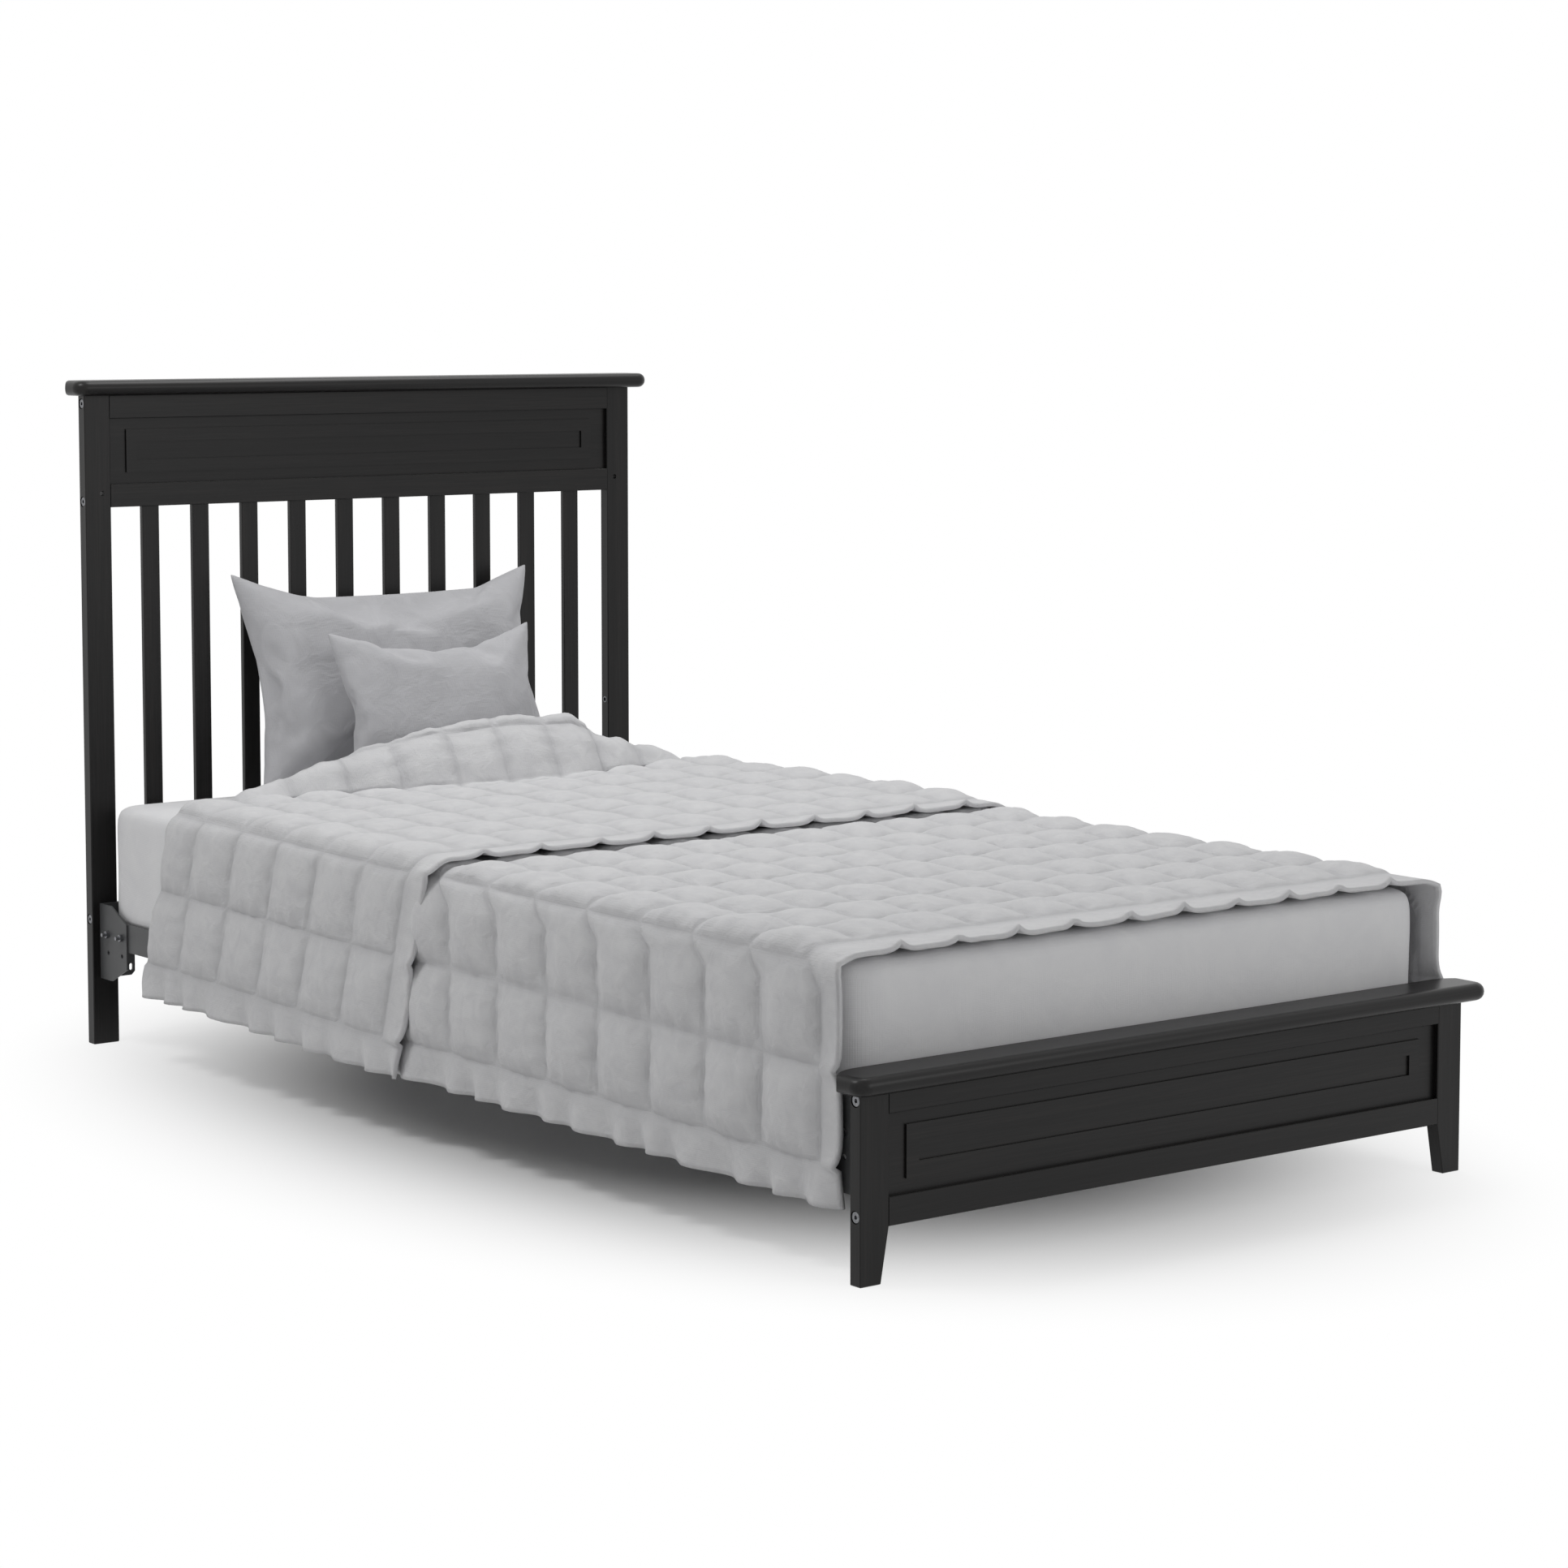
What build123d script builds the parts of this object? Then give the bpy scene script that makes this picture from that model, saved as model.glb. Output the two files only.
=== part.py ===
from build123d import *
import math
import os

# A child's bed made up from the two ends of a convertible crib: a slatted headboard, a low footboard,
# two steel side rails on corner brackets, steel cross bars, and the mattress, quilt and two pillows.
# The origin is on the floor at the centre of the bed. +Y points to the headboard and +X to its right
# as seen from the foot. All sizes are in millimetres.

# Boards
clear_length = 1898.0
board_thickness = 20.0
post_width = 44.0
post_edge = 1.2
rail_edge = 0.8

# Headboard heights
headboard_height = 1016.0
headboard_top_rail_height = 36.0
headboard_panel_opening = 102.0
panel_rail_height = 36.0
headboard_bottom_rail_base = 175.0
headboard_bottom_rail_height = 45.0

# Footboard heights
footboard_height = 233.0
footboard_top_rail_height = 29.0
footboard_panel_opening = 100.5
footboard_bottom_rail_height = 35.0
toe_width = 32.0
toe_taper_height = 67.0

# Caps
cap_thickness = 23.4
cap_front_overhang = 29.0
cap_back_overhang = 18.0
cap_side_overhang = 24.0
cap_bullnose = 11.4
cap_front_corner = 20.0
cap_back_corner = 45.0
cap_back_edge = 2.0

# Slats
slat_count = 10
slat_width = 29.3
slat_thickness = 9.5
slat_pitch = 88.7
slat_tenon = 10.0
slat_edge = 1.0

# Recessed panels with a raised picture-frame moulding
panel_thickness = 6.0
panel_recess = 8.0
panel_groove = 6.0
moulding_height = 3.0
moulding_strip = 19.5
moulding_side_margin = 30.5
moulding_edge_margin = 17.4

joint_clearance = 0.15

# Connector screws, each through a post into the end of a rail
screw_radius = 3.0
screw_head_radius = 6.75
screw_head_height = 4.0
screw_socket_flats = 5.0
screw_socket_depth = 2.6
screw_reach = 38.0
counterbore_radius = 8.0
counterbore_depth = 5.0
bolt_radius = 3.0
bolt_hole_radius = 3.25
thread_clearance = 0.05
bottom_rail_screw_rise = 22.6
panel_rail_screw_rise = 9.6
top_rail_screw_drop = 12.6
footboard_bottom_screw_rise = 14.9
footboard_top_screw_drop = 9.8

# Spare fittings on the headboard posts, left over from its use as a crib
spare_hole_radius = 3.9
spare_hole_rise = 22.0
spare_hole_inset = 29.0
insert_rise = 262.4
insert_radius = 5.0
insert_length = 13.0
insert_bore = 3.1

# Steel corner brackets and side rails
plate_thickness = 3.0
bracket_inset = 13.0
bracket_reach = 86.0
bracket_flange = 58.5
bracket_base = 104.5
bracket_height = 118.0
bracket_shoulder = 36.5
bracket_corner_drop = 24.0
bracket_hole_radius = 3.5
bracket_hole_inset = 26.5
bracket_hole_pitch = 44.5
bracket_bolt_rise = 72.5
bracket_spare_rise = 43.5
flange_slot_length = 11.0
flange_slot_width = 6.0
flange_slot_drop = 13.0
flange_slot_inset = 7.0
flange_bolt_inset = 17.0
flange_bolt_rise = 45.0
flange_bolt_depth = 15.0
rail_leg = 44.0
rail_shelf = 40.0
rail_base = 155.5
rail_end_gap = 12.0
pan_head_radius = 6.0
pan_head_height = 2.6
nut_flats = 10.0
nut_height = 5.0
bolt_end_length = 6.5

# Cross bars that carry the mattress
bar_count = 5
bar_width = 25.0
bar_height = 25.0
bar_wall = 2.0
bar_end_gap = 0.4
bar_first_offset = 190.0
bar_lug = 8.0
bar_lug_inset = 21.0

# Mattress
mattress_width = 990.0
mattress_side_gap = 1.0
mattress_thickness = 194.0
mattress_head_gap = 6.0
mattress_foot_gap = 8.0
mattress_corner = 45.0
mattress_edge = 24.0
mattress_crown = 6.0

# Quilt: one sheet folded back on itself at the head, sewn in squares
soft_clearance = 0.3
quilt_valley = 7.0
quilt_puff = 7.0
quilt_cross_seam_rise = 0.8
quilt_swell = ((0.26, 1.0), (0.74, 1.0))
quilt_side_gap = 4.0
quilt_hem = 50.0
quilt_drop_base = 92.0
quilt_side_square = 118.0
quilt_side_rows = 2
quilt_shoulder = 32.0
quilt_top_squares = 11
quilt_long_square = 116.3
quilt_fold_back = 268.0
quilt_fold_squares = 6
quilt_side_start = 240.0
quilt_head_slant = 0.45
quilt_fold_slant = 0.26
quilt_foot_margin = 3.5

# The quilt's rise in front of the pillows, higher to the right of the middle
hump_height = 108.0
hump_length = 74.0
hump_left_foot = -450.0
hump_left_flank = (-180.0, 80.0)
hump_peak = 60.0
hump_brow = (172.0, 101.0)
hump_right_flank = (268.0, 52.0)
hump_right_foot = 440.0
hump_face_sag = 12.0

# Pillows, standing on the mattress and leaning back on the slats
large_pillow_width = 574.0
large_pillow_length = 373.0
large_pillow_thickness = 122.0
large_pillow_lean = 15.5
small_pillow_width = 388.0
small_pillow_length = 280.0
small_pillow_thickness = 88.0
small_pillow_lean = 15.5
pillow_seam = 5.0
pillow_side_sweep = 20.0
pillow_sections = 8
pillow_fullness = 2.4

# Places that follow from the sizes above
bed_width = mattress_width + 2 * (mattress_side_gap + 2 * plate_thickness + bracket_inset)
overall_depth = cap_front_overhang + 2 * board_thickness + clear_length + cap_back_overhang
foot_front = cap_front_overhang - overall_depth / 2
foot_back = foot_front + board_thickness
head_front = foot_back + clear_length
head_back = head_front + board_thickness
half_width = bed_width / 2
opening_half = half_width - post_width
head_rail_top = headboard_height - headboard_top_rail_height
head_panel_base = head_rail_top - headboard_panel_opening
slat_top = head_panel_base - panel_rail_height
slat_base = headboard_bottom_rail_base + headboard_bottom_rail_height
foot_rail_base = footboard_height - footboard_top_rail_height
foot_panel_base = foot_rail_base - footboard_panel_opening
foot_bottom_rail_base = foot_panel_base - footboard_bottom_rail_height
headboard_screw_heights = (headboard_bottom_rail_base + bottom_rail_screw_rise,
                           slat_top + panel_rail_screw_rise, headboard_height - top_rail_screw_drop)
footboard_screw_heights = (foot_bottom_rail_base + footboard_bottom_screw_rise,
                           footboard_height - footboard_top_screw_drop)
insert_height = slat_base + insert_rise
spare_hole_height = slat_top + spare_hole_rise
plate_outer = half_width - bracket_inset
plate_inner = plate_outer - plate_thickness
rail_inner = plate_inner - plate_thickness
bar_base = rail_base + plate_thickness
mattress_base = bar_base + bar_height
mattress_top = mattress_base + mattress_thickness + mattress_crown
mattress_head = head_front - mattress_head_gap
mattress_foot = foot_back + cap_back_overhang + mattress_foot_gap


def block(x0, x1, y0, y1, z0, z1):
    """A box between opposite corners, given in any order."""
    centre = ((x0 + x1) / 2, (y0 + y1) / 2, (z0 + z1) / 2)
    return Pos(*centre) * Box(abs(x1 - x0), abs(y1 - y0), abs(z1 - z0))


def rod(start, end, radius):
    """A round bar from one point to another."""
    a, b = Vector(*start), Vector(*end)
    plane = Plane(origin=a, z_dir=b - a)
    return extrude(plane * Circle(radius), amount=(b - a).length)


def hexagon_rod(start, end, flats):
    """A six-sided bar from one point to another."""
    a, b = Vector(*start), Vector(*end)
    plane = Plane(origin=a, z_dir=b - a)
    return extrude(plane * RegularPolygon(flats / 2, 6, major_radius=False), amount=(b - a).length)


def mirrored(shape):
    """The same shape on the other side of the bed."""
    return mirror(shape, about=Plane.YZ)


def both_sides(shapes):
    return list(shapes) + [mirrored(s) for s in shapes]


def solids_of(shape):
    return shape.solids() if hasattr(shape, "solids") else [shape]


def save(name, *shapes):
    """Writes one node, a single solid or a group of separate solids."""
    found = [s for shape in shapes for s in solids_of(shape)]
    whole = found[0] if len(found) == 1 else Compound(children=found)
    export_step(whole, f"parts/{name}.step")


# Timber

def connector_bore(front, height):
    """The counterbored screw hole through the left post, and on into the rail."""
    middle = front + board_thickness / 2
    seat = -half_width + counterbore_depth
    end = seat + screw_reach + post_width
    wide = rod((-half_width, middle, height), (seat, middle, height), counterbore_radius)
    return wide + rod((seat, middle, height), (end, middle, height), screw_radius + thread_clearance)


def panel_slot(front, base, top):
    """The groove round a panel opening, in the rails and the posts."""
    y = front + panel_recess - joint_clearance
    reach = panel_groove + joint_clearance
    return block(-opening_half - reach, opening_half + reach, y,
                 y + panel_thickness + 2 * joint_clearance, base - reach, top + reach)


def headboard_post():
    section = Rectangle(post_width, board_thickness)
    section = chamfer(section.vertices(), post_edge)
    place = Pos(-half_width + post_width / 2, head_front + board_thickness / 2, 0)
    post = extrude(place * section, amount=headboard_height)
    post = chamfer(post.faces().sort_by(Axis.Z)[0].edges(), post_edge)
    for height in headboard_screw_heights:
        post -= connector_bore(head_front, height)
    x = -half_width + spare_hole_inset
    post -= rod((x, head_front - 1, spare_hole_height), (x, head_back + 1, spare_hole_height),
                spare_hole_radius)
    post -= insert_bore_at(insert_height)
    post -= flange_bolt_bore(head_front, 1)
    return post - panel_slot(head_front, head_panel_base, head_rail_top)


def footboard_post():
    """A short post whose inner side tapers to the toe."""
    outer, inner = -half_width, -opening_half
    outline = Polyline((outer, 0), (outer, footboard_height), (inner, footboard_height),
                       (inner, toe_taper_height), (outer + toe_width, 0), close=True)
    plane = Plane(origin=(0, foot_back, 0), x_dir=(1, 0, 0), z_dir=(0, -1, 0))
    post = extrude(plane * make_face(outline), amount=board_thickness)
    post = chamfer(post.faces().sort_by(Axis.Z)[0].edges(), post_edge)
    long_edges = [e for e in post.edges() if abs(e.tangent_at(0).Z) > 0.5 and e.length > post_width]
    post = chamfer(long_edges, post_edge)
    for height in footboard_screw_heights:
        post -= connector_bore(foot_front, height)
    post -= flange_bolt_bore(foot_back, -1)
    return post - panel_slot(foot_front, foot_panel_base, foot_rail_base)


def rail(front, base, height):
    """A cross rail between two posts, with its long edges eased."""
    back = front + board_thickness
    bar = block(-opening_half, opening_half, front, back, base, base + height)
    long_edges = bar.edges().filter_by(Axis.X)
    return chamfer(long_edges, rail_edge)


def bored_rail(front, base, height, screw_height):
    hole = connector_bore(front, screw_height)
    return rail(front, base, height) - hole - mirrored(hole)


def slat_places():
    first = -slat_pitch * (slat_count - 1) / 2
    return [first + n * slat_pitch for n in range(slat_count)]


def slat_block(x, spare):
    """A slat with its tenons. Spare is the room left round it in a mortise."""
    middle = head_front + board_thickness / 2
    half_x = slat_width / 2 + spare
    half_y = slat_thickness / 2 + spare
    reach = slat_tenon + spare
    return block(x - half_x, x + half_x, middle - half_y, middle + half_y,
                 slat_base - reach, slat_top + reach)


def slat(x):
    bar = slat_block(x, 0)
    return chamfer(bar.edges().filter_by(Axis.Z), slat_edge)


def cut_mortises(bar):
    for x in slat_places():
        bar -= slat_block(x, joint_clearance)
    return bar


def panel(front, base, top):
    """A thin board held in grooves, with a raised moulding like a picture frame."""
    y = front + panel_recess
    board = block(-opening_half - panel_groove, opening_half + panel_groove,
                  y, y + panel_thickness, base - panel_groove, top + panel_groove)
    outer_x = opening_half - moulding_side_margin
    inner_x = outer_x - moulding_strip
    low = base + moulding_edge_margin
    high = top - moulding_edge_margin
    ring = block(-outer_x, outer_x, y - moulding_height, y, low, high)
    ring -= block(-inner_x, inner_x, y - moulding_height, y, low + moulding_strip, high - moulding_strip)
    return board + ring


def cap(front, base):
    """A top cap: a full bullnose along the front and ends, running out round the back corners."""
    half = half_width + cap_side_overhang
    y0 = front - cap_front_overhang
    y1 = front + board_thickness + cap_back_overhang
    spare = 2 * cap_bullnose
    blank = Rectangle(2 * half, y1 - y0 + spare)
    blank = Pos(0, (y0 + y1 + spare) / 2, base) * blank
    blank = fillet(blank.vertices().sort_by(Axis.Y)[:2], cap_front_corner)
    nosed = extrude(blank, amount=cap_thickness)
    edges = [e for f in (nosed.faces().sort_by(Axis.Z)[0], nosed.faces().sort_by(Axis.Z)[-1])
             for e in f.edges() if e.center().Y < y1 + spare - 1]
    nosed = fillet(edges, cap_bullnose)
    outline = Rectangle(2 * half + spare, y1 - y0 + spare)
    outline = Pos(0, (y0 + y1 - spare) / 2, base) * outline
    outline = fillet(outline.vertices().sort_by(Axis.Y)[-2:], cap_back_corner + spare / 2)
    trim = extrude(outline, amount=cap_thickness)
    trim_edges = [e for f in (trim.faces().sort_by(Axis.Z)[0], trim.faces().sort_by(Axis.Z)[-1])
                  for e in f.edges() if e.center().Y > y0]
    return nosed & chamfer(trim_edges, cap_back_edge)


# Fasteners

def connector_screw(front, height):
    """A hex-socket screw from the outer side of the left post into the end of a rail."""
    y = front + board_thickness / 2
    seat = -half_width + counterbore_depth
    face = seat - screw_head_height
    tail = seat + screw_reach + post_width - 1
    head = rod((face, y, height), (seat, y, height), screw_head_radius)
    shank = rod((seat, y, height), (tail, y, height), screw_radius)
    socket = hexagon_rod((face, y, height), (face + screw_socket_depth, y, height), screw_socket_flats)
    return head + shank - socket


def insert_bore_at(height):
    y = head_front + board_thickness / 2
    end = -opening_half - insert_length - joint_clearance
    return rod((-opening_half, y, height), (end, y, height), insert_radius + joint_clearance)


def threaded_insert(height):
    """A screw-in insert with a hexagon mouth, flush with the inner side of the post."""
    y = head_front + board_thickness / 2
    end = -opening_half - insert_length
    sleeve = rod((-opening_half, y, height), (end, y, height), insert_radius)
    bore = rod((-opening_half, y, height), (end + 2, y, height), insert_bore)
    mouth = hexagon_rod((-opening_half, y, height), (-opening_half - 3, y, height), 2 * insert_bore + 0.8)
    return sleeve - bore - mouth


def pan_bolt(start, direction, length):
    """A low-headed bolt. Start is where its head seats, and direction runs down its shank."""
    a = Vector(*start)
    d = Vector(*direction)
    return rod(a - d * pan_head_height, a, pan_head_radius) + rod(a, a + d * length, bolt_radius)


def hex_nut(start, direction):
    a = Vector(*start)
    d = Vector(*direction)
    nut = hexagon_rod(a, a + d * nut_height, nut_flats)
    return nut - rod(a - d, a + d * (nut_height + 1), bolt_radius + thread_clearance)


# Steel frame

def flange_bolt_place():
    """Across and up: where the bolt through a bracket's flange enters the post."""
    return -half_width + bracket_inset + flange_bolt_inset, bracket_base + flange_bolt_rise


def flange_bolt_bore(face, into):
    """The pilot hole in a post for the bolt that holds a bracket's flange."""
    x, z = flange_bolt_place()
    return rod((x, face, z), (x, face + into * (flange_bolt_depth + 1), z), bolt_radius + thread_clearance)


def bracket_plate():
    """The side plate in the plane of the rail, with its far corners cut off."""
    top = bracket_base + bracket_height
    points = [(0, bracket_base), (bracket_shoulder, bracket_base),
              (bracket_reach, bracket_base + bracket_corner_drop),
              (bracket_reach, top - bracket_corner_drop), (bracket_shoulder, top), (0, top)]
    outline = make_face(Polyline(*[(-y, z) for y, z in points], close=True))
    plane = Plane(origin=(-plate_outer, 0, 0), x_dir=(0, 1, 0), z_dir=(1, 0, 0))
    return extrude(plane * outline, amount=plate_thickness)


def left_bracket():
    """A corner bracket against a face at y = 0, reaching towards -Y."""
    plate = bracket_plate()
    far = -plate_outer + bracket_flange
    top = bracket_base + bracket_height
    flange = block(-plate_outer, far, -plate_thickness, 0, bracket_base, top)
    far_edges = [e for e in flange.edges().filter_by(Axis.Y) if e.center().X > far - 1]
    shape = plate + chamfer(far_edges, 2 * plate_thickness)
    for rise in (bracket_bolt_rise, bracket_spare_rise):
        for n in range(2):
            y = -bracket_hole_inset - n * bracket_hole_pitch
            z = bracket_base + rise
            shape -= rod((-plate_outer - 1, y, z), (-plate_inner + 1, y, z), bracket_hole_radius)
    slot_x = far - flange_slot_inset
    slot_z = bracket_base + flange_slot_drop
    slot = Plane.XZ * (Pos(slot_x, slot_z) * SlotOverall(flange_slot_length, flange_slot_width, rotation=90))
    shape -= extrude(slot, amount=2 * plate_thickness, both=True)
    x, z = flange_bolt_place()
    return shape - rod((x, -plate_thickness - 1, z), (x, 1, z), bolt_hole_radius)


def at_head(shape):
    return Pos(0, head_front, 0) * shape


def at_foot(shape):
    """The head end's shape turned to stand against the footboard."""
    return Pos(0, foot_back, 0) * mirror(shape, about=Plane.XZ)


def bracket_holes():
    z = bracket_base + bracket_bolt_rise
    return [(-bracket_hole_inset - n * bracket_hole_pitch, z) for n in range(2)]


def side_rail():
    """An angle with its upright leg against the brackets and its shelf under the cross bars."""
    y0, y1 = foot_back + rail_end_gap, head_front - rail_end_gap
    x = -plate_inner
    leg = block(x, x + plate_thickness, y0, y1, rail_base, rail_base + rail_leg)
    shelf = block(x, x + rail_shelf, y0, y1, rail_base, rail_base + plate_thickness)
    shape = leg + shelf
    for y, z in bracket_holes():
        hole = rod((x - 1, y, z), (x + plate_thickness + 1, y, z), bracket_hole_radius)
        shape = shape - at_head(hole) - at_foot(hole)
    for y in bar_places():
        shape -= bar_lug_block(y, joint_clearance)
    return shape


def rail_bolts_head():
    """Rail bolts at the head, put in from inside, their ends standing out past the nuts."""
    x = -rail_inner
    reach = 2 * plate_thickness + nut_height + bolt_end_length
    return [at_head(pan_bolt((x, y, z), (-1, 0, 0), reach)) for y, z in bracket_holes()]


def rail_nuts_head():
    return [at_head(hex_nut((-plate_outer, y, z), (-1, 0, 0))) for y, z in bracket_holes()]


def rail_bolts_foot():
    """Rail bolts at the foot, put in from outside so that the quilt hangs over low heads."""
    reach = 2 * plate_thickness + nut_height + 1
    return [at_foot(pan_bolt((-plate_outer, y, z), (1, 0, 0), reach)) for y, z in bracket_holes()]


def rail_nuts_foot():
    return [at_foot(hex_nut((-rail_inner, y, z), (1, 0, 0))) for y, z in bracket_holes()]


def flange_bolt():
    x, z = flange_bolt_place()
    return pan_bolt((x, -plate_thickness, z), (0, 1, 0), plate_thickness + flange_bolt_depth)


def bar_places():
    first = head_front - bar_first_offset
    last = foot_back + bar_first_offset
    step = (last - first) / (bar_count - 1)
    return [first + n * step for n in range(bar_count)]


def bar_lug_block(y, spare):
    """The lug under a cross bar's left end. Spare is the room left round it in the rail's shelf."""
    x = -plate_inner + bar_lug_inset
    reach = bar_lug / 2 + spare
    return block(x - reach, x + reach, y - reach, y + reach, rail_base - spare, bar_base)


def cross_bar(y):
    """A square steel tube from rail to rail, with a lug at each end that drops into the shelf."""
    half = rail_inner - bar_end_gap
    top = bar_base + bar_height
    tube = block(-half, half, y - bar_width / 2, y + bar_width / 2, bar_base, top)
    tube = chamfer(tube.edges().filter_by(Axis.X), bar_wall)
    tube -= block(-half, half, y - bar_width / 2 + bar_wall, y + bar_width / 2 - bar_wall,
                  bar_base + bar_wall, top - bar_wall)
    lug = bar_lug_block(y, 0)
    return tube + lug + mirrored(lug)


# Bedding

def cushion_profile(half):
    """The outline of the mattress seen from an end: a flat base, soft corners and a crowned top."""
    low, edge = mattress_base, mattress_base + mattress_thickness
    crown = ThreePointArc((half, edge), (0, edge + mattress_crown), (-half, edge))
    sides = Polyline((-half, edge), (-half, low), (half, low), (half, edge))
    outline = make_face([crown, sides])
    return fillet(outline.vertices(), mattress_edge)


def mattress():
    """A foam mattress in a fitted sheet, rounded alike across, along and in plan."""
    y0, y1 = mattress_foot, mattress_head
    half_length = (y1 - y0) / 2
    middle = (y0 + y1) / 2
    across = Plane(origin=(0, y1, 0), x_dir=(1, 0, 0), z_dir=(0, -1, 0))
    along = Plane(origin=(-mattress_width / 2, middle, 0), x_dir=(0, 1, 0), z_dir=(1, 0, 0))
    plan = Rectangle(mattress_width, y1 - y0)
    plan = Pos(0, middle, 0) * fillet(plan.vertices(), mattress_corner)
    shape = extrude(across * cushion_profile(mattress_width / 2), amount=y1 - y0)
    shape &= extrude(along * cushion_profile(half_length), amount=mattress_width)
    return shape & extrude(plan, amount=mattress_top)


def scallops(points, puff):
    """Lines through the seam points that swell to the left between each two, as wadding does."""
    run = [Vector(*points[0])]
    for a, b in zip(points, points[1:]):
        a, b = Vector(*a), Vector(*b)
        along = b - a
        side = Vector(-along.Y, along.X).normalized() * puff
        run += [a + along * place + side * rise for place, rise in quilt_swell] + [b]
    return [Line(a, b) for a, b in zip(run, run[1:])]


def closed_face(edges, corners):
    """A face bounded by a run of edges and then straight lines through the corners."""
    start = edges[0] @ 0
    end = edges[-1] @ 1
    lines = Polyline(end, *[Vector(*c) for c in corners], start)
    return make_face(edges + [lines])


def quilt_section(half, top):
    """The quilt's outer outline across the bed: squares up each side and over the top."""
    first = quilt_drop_base + quilt_hem
    heights = [first + n * quilt_side_square for n in range(quilt_side_rows + 1)]
    reach = half - quilt_shoulder
    step = 2 * reach / quilt_top_squares
    over = [(-reach + n * step, top) for n in range(quilt_top_squares + 1)]
    bend = quilt_shoulder * (1 - math.sqrt(0.5))
    left = scallops([(-half, z) for z in heights], quilt_puff)
    right = scallops([(half, z) for z in reversed(heights)], quilt_puff)
    drop = top - heights[-1]
    turn = drop * (1 - math.sqrt(0.5))
    edges = left + [ThreePointArc((-half, heights[-1]), (-half + bend, top - turn), over[0])]
    edges += scallops(over, quilt_puff)
    edges += [ThreePointArc(over[-1], (half - bend, top - turn), (half, heights[-1]))] + right
    return closed_face(edges, [(half, quilt_drop_base), (-half, quilt_drop_base)])


def seam_run(start, end, step, hem):
    """Seam places from start to end at equal steps, the last step taking what is left before a hem."""
    count = round(abs(end - start) / step)
    sign = 1 if end > start else -1
    places = [start + sign * n * step for n in range(count)]
    places = [p for p in places if abs(end - p) > 1.4 * hem]
    return sorted(places + [end - sign * hem, end])


def quilt_layer(seams, half, top):
    """One layer of the quilt as a solid block, sewn in squares, over its run of seams along the bed."""
    y0, y1 = seams[0], seams[-1]
    spare = quilt_puff
    across = Plane(origin=(0, y1 + spare, 0), x_dir=(1, 0, 0), z_dir=(0, -1, 0))
    shape = extrude(across * quilt_section(half, top), amount=y1 - y0 + 2 * spare)
    low = quilt_drop_base - spare
    wide = half + 2 * quilt_puff
    crest = top + quilt_cross_seam_rise
    side = half + quilt_cross_seam_rise
    arcs = scallops([(y, crest) for y in seams], quilt_puff)
    along = Plane(origin=(-wide, 0, 0), x_dir=(0, 1, 0), z_dir=(1, 0, 0))
    shape &= extrude(along * closed_face(arcs, [(y1, low), (y0, low)]), amount=2 * wide)
    right = scallops([(side, y) for y in reversed(seams)], quilt_puff)
    left = scallops([(-side, y) for y in seams], quilt_puff)
    foot_end = Polyline((side, y0), (side, y0 - 2 * spare), (-side, y0 - 2 * spare), (-side, y0))
    head_end = Polyline((-side, y1), (-side, y1 + 2 * spare), (side, y1 + 2 * spare), (side, y1))
    plan = make_face(right + [foot_end] + left + [head_end])
    return shape & Pos(0, 0, low - spare) * extrude(plan, amount=top - low + 4 * quilt_puff)


def side_trim(points):
    """A prism across the bed, whose outline seen from the side is given, for trimming the drops."""
    wide = half_width + 10 * quilt_puff
    plane = Plane(origin=(-wide, 0, 0), x_dir=(0, 1, 0), z_dir=(1, 0, 0))
    return extrude(plane * make_face(Polyline(*points, close=True)), amount=2 * wide)


def fold_line():
    return head_front - quilt_fold_back


def hump(base):
    """The quilt rising in front of the pillows: a long mound across the bed, steep at its foot side."""
    y1 = fold_line()
    y0 = y1 - hump_length
    left_x, left_z = hump_left_flank
    brow_x, brow_z = hump_brow
    right_x, right_z = hump_right_flank
    climb = ThreePointArc((hump_left_foot, base), (left_x, base + left_z), (hump_peak, base + hump_height))
    brow = Line((hump_peak, base + hump_height), (brow_x, base + brow_z))
    fall = ThreePointArc((brow_x, base + brow_z), (right_x, base + right_z), (hump_right_foot, base))
    across = make_face([climb, brow, fall, Line(fall @ 1, climb @ 0)])
    plane = Plane(origin=(0, y1, 0), x_dir=(1, 0, 0), z_dir=(0, -1, 0))
    mound = extrude(plane * across, amount=hump_length)
    middle = ((y0 + y1) / 2 + hump_face_sag / 2, base + hump_height / 2 - hump_face_sag / 2)
    rise = ThreePointArc((y0, base), middle, (y1, base + hump_height))
    side = make_face([rise, Polyline(rise @ 1, (y1, base), rise @ 0)])
    along = Plane(origin=(hump_left_foot, 0, 0), x_dir=(0, 1, 0), z_dir=(1, 0, 0))
    return mound & extrude(along * side, amount=hump_right_foot - hump_left_foot)


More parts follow.
